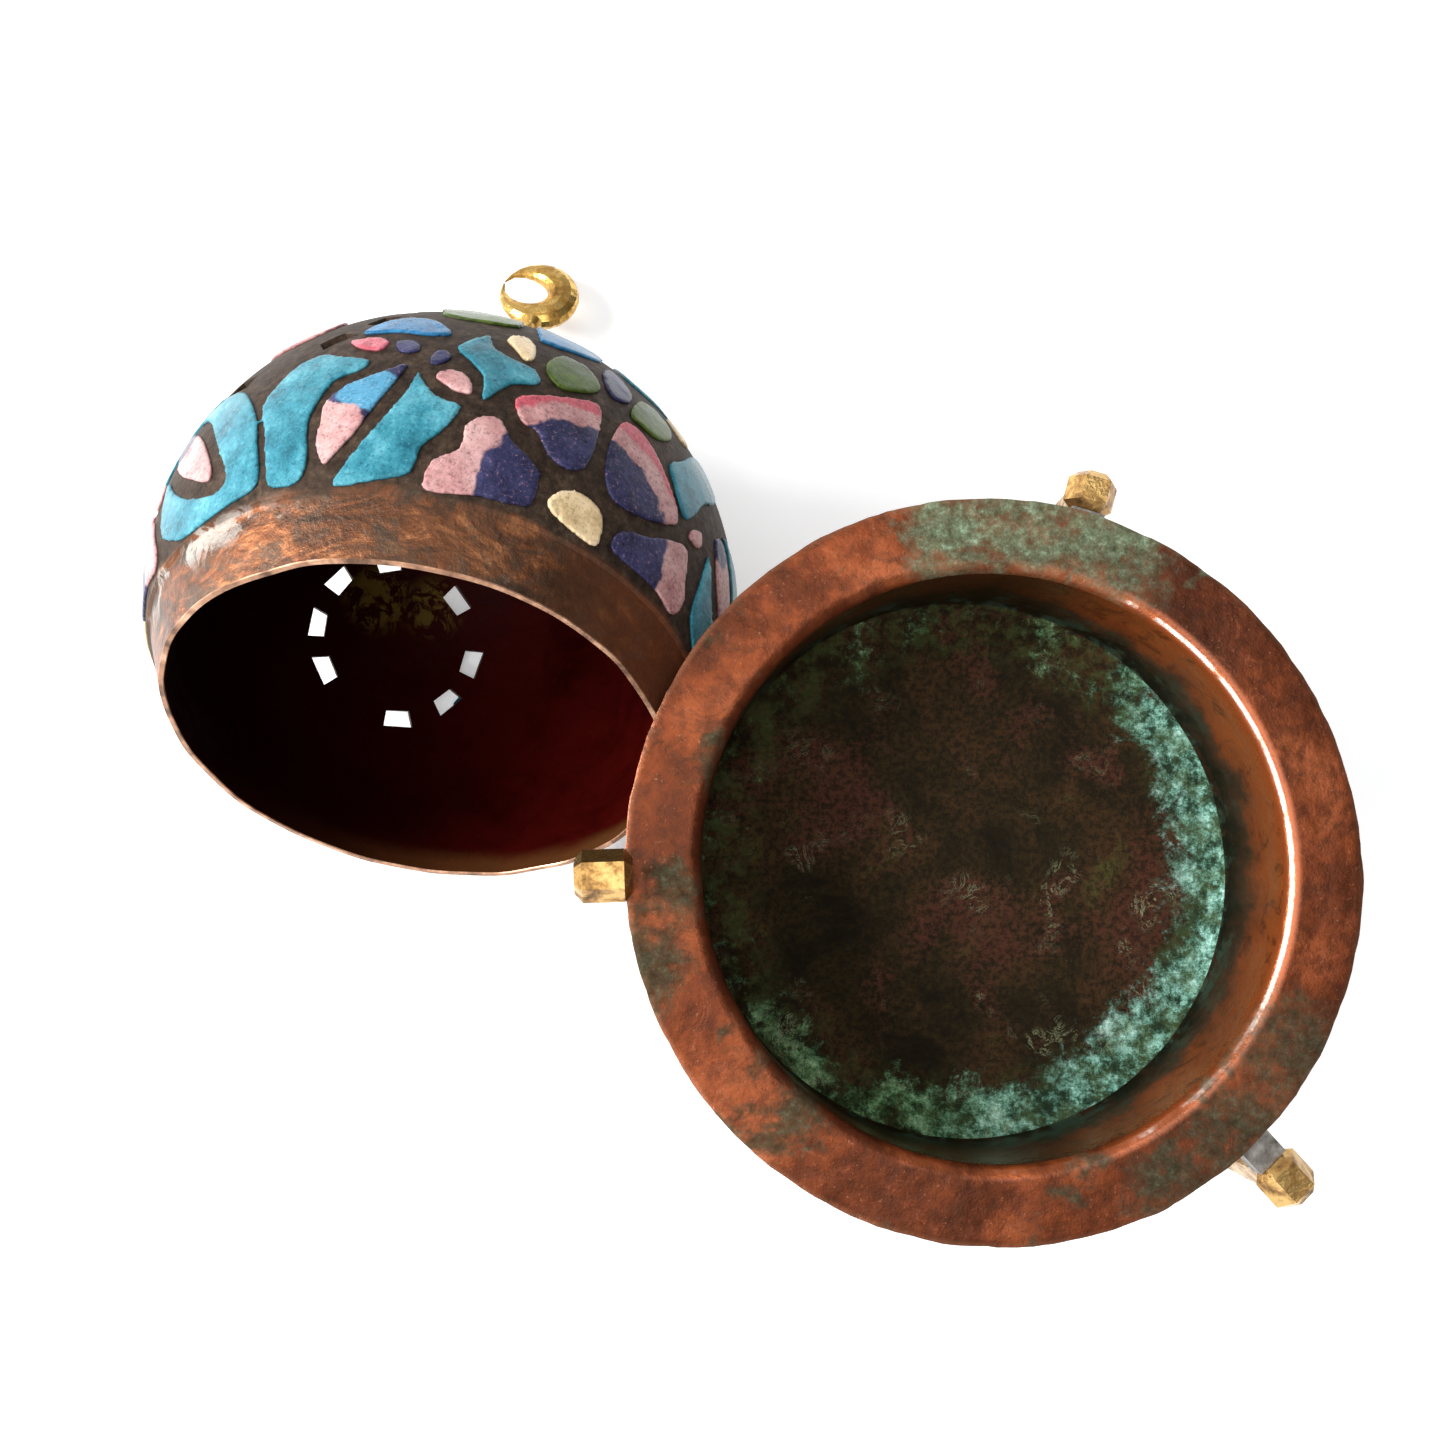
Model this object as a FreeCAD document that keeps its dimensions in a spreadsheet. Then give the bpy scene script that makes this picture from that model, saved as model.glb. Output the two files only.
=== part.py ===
"""Enamelled copper incense burner: a three-legged pan with its pierced dome lid laid beside it.

The origin is the centre of the pan's floor, +Z is up. The lid is built upright in its own frame,
mouth at z = 0, and then laid on its side on the table that the three legs stand on.
"""
import FreeCAD, Part
import math
import os

import Sketcher

Vector = FreeCAD.Vector
Rotation = FreeCAD.Rotation
Placement = FreeCAD.Placement

doc = FreeCAD.newDocument("incense_burner")

# ---------------------------------------------------------------- driving dimensions, mm and degrees
DIMENSIONS = {
    "flange_radius": 60.0,      # outer edge of the pan
    "well_radius": 47.4,        # inside of the pan
    "well_depth": 27.0,
    "copper": 1.0,              # sheet thickness of pan and lid
    "floor_corner": 3.0,        # inside radius between floor and wall
    "lip_radius": 2.4,          # rolled edge between wall and flange
    "stand_height": 83.0,       # table to the top of the flange
    "mouth_radius": 42.4,       # outside of the lid at its mouth
    "dome_radius": 51.0,        # outside of the bare copper dome
    "dome_centre": 30.2,        # height of the dome's centre above the mouth
    "enamel": 1.0,              # thickness of the enamel
    "lid_reach": 95.0,          # lid mouth's centre, to the left of the pan's axis
    "lid_back": 21.0,           # and behind it
    "lid_heading": 83.0,        # where the crown points, seen from above
    "lid_dip": 31.5,            # the crown's dip below level
    "slot_length": 5.6,
    "slot_width": 3.4,
    "crown_hole": 2.0,          # radius of the hole for the finial's tang
    "knee_corner": 4.2,         # hexagonal knee, centre to corner
    "knee_bevel": 1.3,
    "arm_width": 5.6,
    "arm_height": 3.6,
    "leg_width": 4.0,
    "crescent_radius": 8.6,
    "crescent_hole": 4.9,       # half the opening's width
    "crescent_gap": 3.65,       # half the opening's height
    "crescent_offset": 3.3,    # how far the hole sits towards the tips
    "crescent_depth": 0.72,     # depth of the horn over its width
    "finial_rise": 39.4,        # crown to the crescent's centre
    "finial_lean": 3.5,         # lean of the stem from the lid's axis
    "crescent_lean": 9.0,       # further lean of the crescent
    "crescent_turn": 14.0,      # in its own plane, tips upwards
    "finial_sway": 3.7,         # towards the pan's side
}

size = doc.addObject("Spreadsheet::Sheet", "size")
for row, (alias, value) in enumerate(DIMENSIONS.items(), start=1):
    size.set(f"A{row}", alias)
    size.set(f"B{row}", str(value))
    size.setAlias(f"B{row}", alias)
doc.recompute()

SUB_PARTS = []


def number(text):
    """The value of an expression of the sheet."""
    return float(getattr(size.evalExpression(text), "Value", size.evalExpression(text)))


def dim(alias):
    return float(getattr(size, alias))


def keep(item, label):
    """Register a finished sub-part under the name of its node."""
    item.Label = label
    SUB_PARTS.append(item)
    return item


# ---------------------------------------------------------------- sketch and body helpers
def new_body(name):
    return doc.addObject("PartDesign::Body", name)


def new_sketch(body, role, name, offset=None):
    sketch = body.newObject("Sketcher::SketchObject", name)
    plane = next(item for item in body.Origin.OriginFeatures if item.Role == role)
    sketch.AttachmentSupport = (plane, [""])
    sketch.MapMode = "FlatFace"
    if offset is not None:
        sketch.AttachmentOffset = offset
    return sketch


def pin(sketch, geometry, end, across, up):
    """Hold a point of the sketch at two expressions of the sheet."""
    for kind, axis, text in (("DistanceX", -2, across), ("DistanceY", -1, up)):
        value = number(text)
        if abs(value) < 1e-9:
            sketch.addConstraint(Sketcher.Constraint("PointOnObject", geometry, end, axis))
            continue
        if value > 0:
            index = sketch.addConstraint(Sketcher.Constraint(kind, -1, 1, geometry, end, value))
            sketch.setExpression(f"Constraints[{index}]", text)
        else:
            index = sketch.addConstraint(Sketcher.Constraint(kind, geometry, end, -1, 1, -value))
            sketch.setExpression(f"Constraints[{index}]", f"-({text})")


def add_polygon(sketch, corners):
    """A closed polygon whose corners are pairs of expressions."""
    places = [Vector(number(across), number(up), 0) for across, up in corners]
    first = sketch.GeometryCount
    count = len(corners)
    for index, start in enumerate(places):
        sketch.addGeometry(Part.LineSegment(start, places[(index + 1) % count]), False)
    for index, (across, up) in enumerate(corners):
        after = first + (index + 1) % count
        sketch.addConstraint(Sketcher.Constraint("Coincident", first + index, 2, after, 1))
        pin(sketch, first + index, 1, across, up)


def revolve(body, sketch):
    turn = body.newObject("PartDesign::Revolution", sketch.Name + "_turn")
    turn.Profile = sketch
    turn.ReferenceAxis = (sketch, ["V_Axis"])
    turn.Angle = 360
    doc.recompute()
    return turn


def dress(body, kind, base, edges, width, name):
    """A fillet or chamfer of the base on the named edges."""
    feature = body.newObject(f"PartDesign::{kind}", name)
    feature.Base = (base, edges)
    feature.setExpression("Radius" if kind == "Fillet" else "Size", width)
    doc.recompute()
    return feature


def round_edges(shape, radius, height):
    """Names of the circular edges of this radius at this height."""
    names = []
    for index, edge in enumerate(shape.Edges, start=1):
        curve = edge.Curve
        if isinstance(curve, Part.Circle) and abs(curve.Radius - radius) < 1e-3:
            if abs(curve.Center.z - height) < 1e-3:
                names.append(f"Edge{index}")
    return names


# ---------------------------------------------------------------- pan
def make_pan():
    """One raised sheet: flat floor, upright wall and wide level flange."""
    body = new_body("pan")
    sketch = new_sketch(body, "XZ_Plane", "pan_profile")
    wall, rim = "size.well_radius", "size.flange_radius"
    top, sheet = "size.well_depth", "size.copper"
    add_polygon(sketch, [
        ("0", "0"), (wall, "0"), (wall, top), (rim, top),
        (rim, f"{top} - {sheet}"), (f"{wall} + {sheet}", f"{top} - {sheet}"),
        (f"{wall} + {sheet}", f"-{sheet}"), ("0", f"-{sheet}")])
    shell = revolve(body, sketch)
    inside, outside = dim("well_radius"), dim("well_radius") + dim("copper")
    depth, thick = dim("well_depth"), dim("copper")
    corner, lip = "size.floor_corner", "size.lip_radius"
    steps = (("floor_inside", inside, 0.0, corner), ("floor_outside", outside, -thick, f"{corner} + {sheet}"),
             ("lip_top", inside, depth, lip), ("lip_under", outside, depth - thick, f"{lip} - {sheet}"))
    for name, radius, height, width in steps:
        shell = dress(body, "Fillet", shell, round_edges(shell.Shape, radius, height), width, name)
    keep(body, "pan")


# ---------------------------------------------------------------- legs
# name: azimuth, knee's inner end and outer end from the pan's axis, knee's height over the flange top
LEGS = {
    "back": (74.0, 60.5, 67.2, -3.2),
    "left": (-178.0, 58.4, 67.6, 0.2),
    "front": (-47.5, 64.2, 71.6, -2.8),
}
# fraction of the leg's height, outward shift of the section, its depth
LEG_SECTIONS = ((1.0, 0.0, 5.2), (0.78, -0.6, 4.6), (0.45, -3.2, 3.6), (0.16, -1.2, 3.6), (0.0, 2.4, 6.4))
FLANGE_SLOT = 0.15      # clearance around the flange in a knee that grips it


def put_round(item, azimuth):
    item.Placement = Placement(Vector(), Rotation(Vector(0, 0, 1), azimuth))


def make_arm(name, azimuth, inner, height):
    """Square bar soldered under the flange, from beside the pan's wall out to the knee."""
    arm = doc.addObject("Part::Box", f"arm_{name}")
    arm.setExpression("Width", "size.arm_width")
    arm.setExpression("Height", "size.arm_height")
    start = dim("well_radius") + dim("lip_radius") + 0.3
    arm.Length = inner - start
    turn = Rotation(Vector(0, 0, 1), azimuth)
    base = dim("well_depth") - dim("copper") - dim("arm_height") - 0.02
    arm.Placement = Placement(turn.multVec(Vector(start, -dim("arm_width") / 2, base)), turn)
    keep(arm, f"arm_{name}")


def make_knee(name, azimuth, inner, outer, height):
    """Short hexagonal bar with bevelled ends, which shows beyond the flange."""
    body = new_body(f"knee_{name}")
    level = f"(size.well_depth + {height})"
    start = Placement(Vector(0, 0, inner), Rotation())
    sketch = new_sketch(body, "YZ_Plane", f"knee_{name}_section", start)
    add_polygon(sketch, [(f"cos({angle}) * size.knee_corner", f"{level} + sin({angle}) * size.knee_corner")
                         for angle in range(0, 360, 60)])
    bar = body.newObject("PartDesign::Pad", f"knee_{name}_bar")
    bar.Profile = sketch
    bar.Length = outer - inner
    doc.recompute()
    ends = [f"Edge{index}" for index, edge in enumerate(bar.Shape.Edges, start=1)
            if edge.BoundBox.XLength < 1e-6]
    bevelled = dress(body, "Chamfer", bar, ends, "size.knee_bevel", f"knee_{name}_bevel")
    if inner < dim("flange_radius"):
        slot = new_sketch(body, "XZ_Plane", f"knee_{name}_slot")
        low = f"size.well_depth - size.copper - {FLANGE_SLOT}"
        high = f"size.well_depth + {FLANGE_SLOT}"
        reach = f"size.flange_radius + {FLANGE_SLOT}"
        add_polygon(slot, [(f"{inner - 1}", low), (reach, low), (reach, high), (f"{inner - 1}", high)])
        cut = body.newObject("PartDesign::Pocket", f"knee_{name}_grip")
        cut.Profile = slot
        cut.Type = 1
        cut.Midplane = True
        doc.recompute()
        if cut.Shape.Volume > bevelled.Shape.Volume - 1:
            raise RuntimeError("the slot for the flange cut nothing")
    put_round(body, azimuth)
    keep(body, f"knee_{name}")


def make_leg(name, azimuth, middle, height):
    """Cast leg with a slight S curve, from the knee's lower flat to its foot."""
    body = new_body(f"leg_{name}")
    table = "(size.well_depth - size.stand_height)"
    flat = f"(size.well_depth + {height} - size.knee_corner * sin(60))"
    sections = []
    for index, (fraction, shift, depth) in enumerate(LEG_SECTIONS):
        level = number(f"{table} + ({flat} - {table}) * {fraction}")
        sketch = new_sketch(body, "XY_Plane", f"leg_{name}_section_{index}",
                            Placement(Vector(0, 0, level), Rotation()))
        centre = middle + shift
        near, far = f"{centre - depth / 2}", f"{centre + depth / 2}"
        side = "size.leg_width / 2" if fraction else "size.leg_width * 0.8"
        add_polygon(sketch, [(near, f"-({side})"), (far, f"-({side})"), (far, side), (near, side)])
        sections.append(sketch)
    loft = body.newObject("PartDesign::AdditiveLoft", f"leg_{name}_loft")
    loft.Profile = sections[0]
    loft.Sections = sections[1:]
    doc.recompute()
    put_round(body, azimuth)
    keep(body, f"leg_{name}")


def make_legs():
    for name, (azimuth, inner, outer, height) in LEGS.items():
        make_arm(name, azimuth, inner, height)
        make_knee(name, azimuth, inner, outer, height)
        make_leg(name, azimuth, (inner + outer) / 2 + (0.4 if inner < 60 else 0.0), height)


# ---------------------------------------------------------------- lid, built upright, mouth at z = 0
ROSETTES = (-38.0, 82.0, 202.0)         # azimuths of the three pierced rosettes
ROSETTE_LATITUDE = 29.0
SLOTS = {48: 17.0, 80: 17.5, 113: 17.5, 151: 16.5, 213: 14.6, 267: 15.2, 304: 15.7, 344: 16.6}   # uneven, by hand


def dome_point(azimuth, latitude, radius):
    """A point on a sphere about the dome's centre."""
    spin, rise = math.radians(azimuth), math.radians(latitude)
    flat = radius * math.cos(rise)
    return Vector(flat * math.cos(spin), flat * math.sin(spin), dim("dome_centre") + radius * math.sin(rise))


def add_arc(sketch, radius, start, end):
    """An arc about the dome's centre, from the crown down to the collar."""
    centre = Vector(0, dim("dome_centre"), 0)
    arc = Part.ArcOfCircle(Part.Circle(centre, Vector(0, 0, 1), number(radius)), start, end)
    index = sketch.addGeometry(arc, False)
    sketch.addConstraint(Sketcher.Constraint("PointOnObject", index, 3, -2))
    place = sketch.addConstraint(Sketcher.Constraint("DistanceY", -1, 1, index, 3, dim("dome_centre")))
    sketch.setExpression(f"Constraints[{place}]", "size.dome_centre")
    bend = sketch.addConstraint(Sketcher.Constraint("Radius", index, number(radius)))
    sketch.setExpression(f"Constraints[{bend}]", radius)
    sketch.addConstraint(Sketcher.Constraint("PointOnObject", index, 2, -2))
    return index


def collar_angle(mouth, radius):
    """Where the straight collar touches the dome's arc, seen from the dome's centre."""
    span = math.hypot(mouth, dim("dome_centre"))
    return math.acos(radius / span) - math.atan2(dim("dome_centre"), mouth)


def make_lid():
    """Raised dome with a straight collar, a tang hole in the crown and three pierced rosettes."""
    body = new_body("lid_shell")
    sketch = new_sketch(body, "XZ_Plane", "lid_profile")
    skins = []
    mouths = ("size.mouth_radius", "size.mouth_radius - size.copper")
    radii = ("size.dome_radius", "size.dome_radius - size.copper")
    for mouth, radius in zip(mouths, radii):
        rim, reach = number(mouth), number(radius)
        angle = collar_angle(rim, reach)
        arc = add_arc(sketch, radius, angle, math.pi / 2)
        touch = Vector(reach * math.cos(angle), dim("dome_centre") + reach * math.sin(angle), 0)
        line = sketch.addGeometry(Part.LineSegment(Vector(rim, 0, 0), touch), False)
        sketch.addConstraint(Sketcher.Constraint("Tangent", line, 2, arc, 1))
        pin(sketch, line, 1, mouth, "0")
        skins.append((line, arc, rim, reach))
    (line_out, arc_out, rim_out, reach_out), (line_in, arc_in, rim_in, reach_in) = skins
    foot = sketch.addGeometry(Part.LineSegment(Vector(rim_out, 0, 0), Vector(rim_in, 0, 0)), False)
    crown_out = Vector(0, dim("dome_centre") + reach_out, 0)
    crown_in = Vector(0, dim("dome_centre") + reach_in, 0)
    crown = sketch.addGeometry(Part.LineSegment(crown_out, crown_in), False)
    for pair in ((foot, 1, line_out, 1), (foot, 2, line_in, 1), (crown, 1, arc_out, 2), (crown, 2, arc_in, 2)):
        sketch.addConstraint(Sketcher.Constraint("Coincident", *pair))
    shell = revolve(body, sketch)

    tang = new_sketch(body, "XY_Plane", "crown_hole")
    tang.addGeometry(Part.Circle(Vector(), Vector(0, 0, 1), dim("crown_hole")), False)
    tang.addConstraint(Sketcher.Constraint("Coincident", 0, 3, -1, 1))
    bore = tang.addConstraint(Sketcher.Constraint("Radius", 0, dim("crown_hole")))
    tang.setExpression(f"Constraints[{bore}]", "size.crown_hole")
    hole = body.newObject("PartDesign::Pocket", "crown_hole_cut")
    hole.Profile = tang
    hole.Type = 1
    hole.Reversed = True
    doc.recompute()
    if hole.Shape.Volume > shell.Shape.Volume - 5:
        raise RuntimeError("the crown's hole cut nothing")

    outward = dome_point(ROSETTES[0], ROSETTE_LATITUDE, 1) - dome_point(0, 0, 0)
    aim = Rotation(Vector(0, 0, 1), ROSETTES[0]).multiply(Rotation(Vector(0, 1, 0), 90 - ROSETTE_LATITUDE))
    plane_at = dome_point(0, 0, 0) + outward * (dim("dome_radius") + 2)
    rosette = new_sketch(body, "XY_Plane", "rosette_slots", Placement(plane_at, aim))
    for angle, ring_radius in SLOTS.items():
        corners = []
        for out, along in ((-1, -0.82), (1, -1.1), (1, 1.1), (-1, 0.82)):
            radial = f"({ring_radius} + {out} * size.slot_width / 2)"
            sideways = f"({along} * size.slot_length / 2)"
            corners.append((f"cos({angle}) * {radial} - sin({angle}) * {sideways}",
                            f"sin({angle}) * {radial} + cos({angle}) * {sideways}"))
        add_polygon(rosette, corners)
    pierced = body.newObject("PartDesign::Pocket", "rosette_cut")
    pierced.Profile = rosette
    pierced.Length = 20
    doc.recompute()
    slot_volume = 8 * dim("slot_length") * dim("slot_width") * dim("copper")
    if hole.Shape.Volume - pierced.Shape.Volume < 0.8 * slot_volume:
        raise RuntimeError("the rosette's slots were not all cut")
    pattern = body.newObject("PartDesign::PolarPattern", "rosettes")
    pattern.Originals = [pierced]
    pattern.Axis = (tang, ["N_Axis"])
    pattern.Angle = 360
    pattern.Occurrences = 3
    body.Tip = pattern
    doc.recompute()
    return keep(body, "lid_shell")


# ---------------------------------------------------------------- enamel cells
# One third of the dome, as outlines of (azimuth, latitude) in degrees seen from the dome's centre.
# The design repeats three times round the lid.
CELLS = {
    "enamel_turquoise": [
        [(-60, -12), (-60, -5), (-58, 2), (-53, 7), (-47, 8), (-42, 7), (-38, 4), (-33, -4), (-31, -11), (-30, -20),
         (-37, -22), (-47, -23), (-53, -22), (-59, -18)],
        [(-28, -21), (-29, -16), (-30, -10), (-32, -3), (-30, 3), (-27, 7), (-23, 9), (-19, 7), (-13, 5), (-14, 2),
         (-18, 0), (-20, -5), (-21, -10), (-20, -17), (-21, -21), (-24, -22)],
        [(-15, -23), (-12, -17), (-8, -10), (-5, -3), (-4, 2), (-2, -1), (1, -4), (5, -5), (3, -11), (0, -15),
         (-1, -20), (-7, -22)],
        [(1, 11), (6, 18), (7, 15), (9, 12), (15, 10), (17, 7), (16, 5), (12, 3), (8, -3), (7, 3), (4, 7)],
        [(45, 6), (49, 11), (53, 17), (57, 21), (62, 22), (65, 17), (62, 11), (57, 6), (54, 0), (52, -3),
         (50, -3), (47, 1)],
        [(36, 30), (42, 28), (48, 30), (55, 32), (56, 40), (47, 50), (38, 43)],
    ],
    "enamel_light_blue": [
        [(-18, 16), (-15, 21), (-10, 23), (-5, 22), (-1, 17), (-1, 15), (-5, 14), (-10, 15), (-15, 15)],
        [(15, 25), (17, 23), (22, 24), (30, 29), (30, 38), (22, 49), (15, 40)],
    ],
    "enamel_green": [
        [(17, 13), (19, 18), (21, 20), (24, 20), (26, 19), (28, 16), (28, 12), (25, 9), (21, 7), (18, 9)],
        [(35, 11), (36, 16), (39, 21), (43, 22), (47, 19), (46, 14), (42, 10), (38, 10)],
        [(-6, 29), (-3, 26), (3, 25), (11, 28), (11, 38), (2, 49), (-7, 42)],
    ],
    "enamel_cobalt": [
        [(-10, 11), (-7, 12), (-5, 10), (-5, 8), (-7, 7), (-9, 8)],
        [(-3, 6), (-2, 9), (0, 9), (1, 7), (0, 5), (-2, 4)],
        [(29, 22), (31, 26), (34, 25), (36, 20), (35, 15), (32, 13), (30, 14), (29, 18)],
    ],
    "enamel_pink": [
        [(-1, 1), (0, 3), (4, 3), (6, 0), (6, -2), (3, -2), (0, 0)],
        [(53, -6), (54, -3), (57, -2), (57, -6)],
        [(-44, 36), (-33, 36), (-28, 29), (-32, 22), (-43, 22), (-48, 29)],
    ],
    "enamel_rose": [
        [(-19, 12), (-17, 13), (-13, 13), (-11, 11), (-12, 8), (-16, 9)],
    ],
    "enamel_ivory": [
        [(23, -19), (24, -16), (27, -14), (31, -14), (34, -16), (35, -21), (33, -22), (27, -21)],
        [(9, 18), (10, 21), (13, 22), (15, 19), (15, 13), (13, 12), (11, 15)],
        [(48, 26), (51, 27), (54, 24), (54, 21), (51, 20), (49, 23)],
    ],
    "enamel_petals": [
        [(1, -22), (2, -17), (6, -14), (6, -9), (9, -6), (12, -6), (15, -10), (20, -13), (21, -17), (20, -21),
         (11, -22), (4, -23)],
        [(13, 0), (17, 3), (21, 5), (27, 8), (29, 6), (29, -3), (28, -9), (25, -11), (21, -10), (18, -6), (15, -5)],
        [(32, 4), (34, 8), (38, 8), (42, 5), (46, 0), (49, -4), (49, -7), (42, -11), (35, -12), (32, -9), (31, -3)],
        [(37, -20), (38, -16), (44, -13), (51, -9), (54, -9), (56, -14), (58, -19), (56, -22), (50, -21), (41, -21)],
    ],
    "enamel_leaves": [
        [(-17, -19), (-19, -15), (-19, -10), (-19, -6), (-16, -2), (-11, 1), (-6, 4), (-7, -1), (-9, -6),
         (-12, -13), (-15, -17)],
        [(-58, 2), (-54, 4), (-47, -3), (-42, -12), (-43, -15), (-48, -12), (-54, -7), (-57, -2)],
    ],
}
EYE_RING = [(-66, 0), (-60, 5), (-55, 6), (-51, 5), (-46, 0), (-41, -9), (-38, -16), (-41, -18), (-49, -15),
            (-55, -10), (-60, -4)]      # bare band round the eye, open at the far side
CROWN_RING = (("enamel_green", 0), ("enamel_turquoise", 1), ("enamel_cobalt", 2), ("enamel_turquoise", 3))
CROWN_CELLS = 12


def rounded(corners, steps=3):
    """A closed smooth outline through the corners, by Catmull-Rom."""
    count = len(corners)
    outline = []
    for index in range(count):
        before, here, after, beyond = (corners[(index + shift) % count] for shift in (-1, 0, 1, 2))
        for step in range(steps):
            part = step / steps
            outline.append(tuple(
                0.5 * (2 * b + (c - a) * part + (2 * a - 5 * b + 4 * c - d) * part ** 2
                       + (3 * b - a - 3 * c + d) * part ** 3)
                for a, b, c, d in zip(before, here, after, beyond)))
    return outline


def radial_prism(outline):
    """The solid between two flat caps that the rays through an outline on the dome bound."""
    centre = dome_point(0, 0, 0)
    rays = [dome_point(azimuth, latitude, 1) - centre for azimuth, latitude in outline]
    middle = sum(rays, Vector()).normalize()
    wires = []
    for distance in (0.7 * dim("dome_radius"), 1.2 * dim("dome_radius")):
        points = [centre + ray * (distance / ray.dot(middle)) for ray in rays]
        wires.append(Part.makePolygon(points + points[:1]))
    prism = Part.makeLoft(wires, True, True)
    return prism if prism.Volume > 0 else prism.reversed()


def enamel_skin():
    centre = Vector(0, 0, dim("dome_centre"))
    outer = Part.makeSphere(dim("dome_radius") + dim("enamel"), centre)
    return outer.cut(Part.makeSphere(dim("dome_radius") + 0.01, centre))


def crown_cell(place):
    """One of the wedge cells round the crown."""
    middle, half = 360 / CROWN_CELLS * place, 180 / CROWN_CELLS - 3
    return [(middle - half, 55), (middle, 53), (middle + half, 55), (middle + half * 0.7, 75),
            (middle - half * 0.7, 75)]


def make_enamel():
    skin = enamel_skin()
    eye_ring = radial_prism(rounded(EYE_RING))
    nodes = {}
    for node, outlines in CELLS.items():
        solids = []
        for outline in outlines:
            cell = radial_prism(rounded(outline)).common(skin)
            if node == "enamel_turquoise" and outline is outlines[0]:
                cell = cell.cut(eye_ring)
            for turn in (0, 120, 240):
                copy = cell.copy()
                copy.rotate(Vector(), Vector(0, 0, 1), turn)
                solids.extend(copy.Solids)
        nodes[node] = solids
    for node, first in CROWN_RING:
        for place in range(first, CROWN_CELLS, len(CROWN_RING)):
            nodes[node].extend(radial_prism(rounded(crown_cell(place))).common(skin).Solids)
    made = []
    for node, solids in nodes.items():
        feature = doc.addObject("Part::Feature", node)
        feature.Shape = Part.makeCompound(solids)
        made.append(keep(feature, node))
    return made


# ---------------------------------------------------------------- finial
def primitive(kind, name, height, **sizes):
    item = doc.addObject(f"Part::{kind}", name)
    for key, value in sizes.items():
        setattr(item, key, value)
    item.Placement.Base = Vector(0, 0, height)
    return item


def make_stem(crown):
    """Turned brass stem whose tang passes through the crown and is peened over inside."""
    top = dim("finial_rise") - dim("crescent_radius")
    pieces = [
        primitive("Cone", "stem_peened_head", crown - 3.93, Radius1=1.7, Radius2=2.6, Height=1.4),
        primitive("Cylinder", "stem_tang", crown - 2.7, Radius=1.5, Height=3.2),
        primitive("Cone", "stem_foot", crown + 0.35, Radius1=6.0, Radius2=3.0, Height=2.6),
        primitive("Sphere", "stem_ball", crown + 5.6, Radius=4.0),
        primitive("Cone", "stem_shaft", crown + 7.6, Radius1=2.8, Radius2=1.5, Height=top - 9.1),
        primitive("Torus", "stem_bead", crown + 13.0, Radius1=2.2, Radius2=1.0),
        primitive("Cone", "stem_cup", crown + top - 1.7, Radius1=1.5, Radius2=2.3, Height=1.75),
    ]
    stem = doc.addObject("Part::MultiFuse", "finial_stem")
    stem.Shapes = pieces
    doc.recompute()
    return keep(stem, "finial_stem")


def make_washer(crown):
    """Copper washer between the peened tang and the inside of the dome."""
    disc = primitive("Cylinder", "washer_disc", crown - 2.5, Radius=4.0, Height=0.9)
    hole = primitive("Cylinder", "washer_hole", crown - 3.2, Radius=1.8, Height=3)
    washer = doc.addObject("Part::Cut", "finial_washer")
    washer.Base, washer.Tool = disc, hole
    doc.recompute()
    return keep(washer, "finial_washer")


def make_crescent():
    """Crescent about its own centre: a horn in the YZ plane, thick towards +Y, tips towards -Y."""
    outer, offset = dim("crescent_radius"), dim("crescent_offset")
    across, rise = dim("crescent_hole"), dim("crescent_gap")
    sections = []
    for step in range(-11, 12):
        angle = math.radians(16.2 * step)
        square = (math.cos(angle) / across) ** 2 + (math.sin(angle) / rise) ** 2
        half = offset * math.cos(angle) / across ** 2
        near = (math.sqrt(half ** 2 + square * (1 - (offset / across) ** 2)) - half) / square
        width = (outer - near) / 2
        ray = Vector(0, math.cos(angle), math.sin(angle))
        ring = []
        for side in range(12):
            turn = math.radians(30 * side)
            depth = Vector(width * dim("crescent_depth") * math.sin(turn), 0, 0)
            ring.append(ray * (outer - width + width * math.cos(turn)) + depth)
        sections.append(Part.makePolygon(ring + ring[:1]))
    feature = doc.addObject("Part::Feature", "finial_crescent")
    feature.Shape = Part.makeLoft(sections, True, True)
    return keep(feature, "finial_crescent")


# ---------------------------------------------------------------- laying the lid down
def lid_placement():
    """The lid on its side: crown dipping away from the pan, belly on the table, mouth up and forward."""
    dip, heading = math.radians(dim("lid_dip")), math.radians(dim("lid_heading"))
    crown_way = Vector(math.cos(dip) * math.cos(heading), math.cos(dip) * math.sin(heading), -math.sin(dip))
    up = Vector(0, 0, 1)
    top_way = (up - crown_way * up.dot(crown_way)).normalize()
    side_way = crown_way.cross(top_way)
    turn = Rotation(top_way, side_way, crown_way, "ZXY")
    table = dim("well_depth") - dim("stand_height")
    level = table + dim("dome_radius") + dim("enamel") + dim("dome_centre") * math.sin(dip)
    return Placement(Vector(-dim("lid_reach"), dim("lid_back"), level), turn)


def lean(height):
    """The finial's tilt towards the lid's +X and +Y sides, about a point on its axis."""
    tilt = Rotation(Vector(0, 1, 0), dim("finial_lean")).multiply(Rotation(Vector(1, 0, 0), -dim("finial_sway")))
    return Placement(Vector(), tilt, Vector(0, 0, height))


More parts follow.
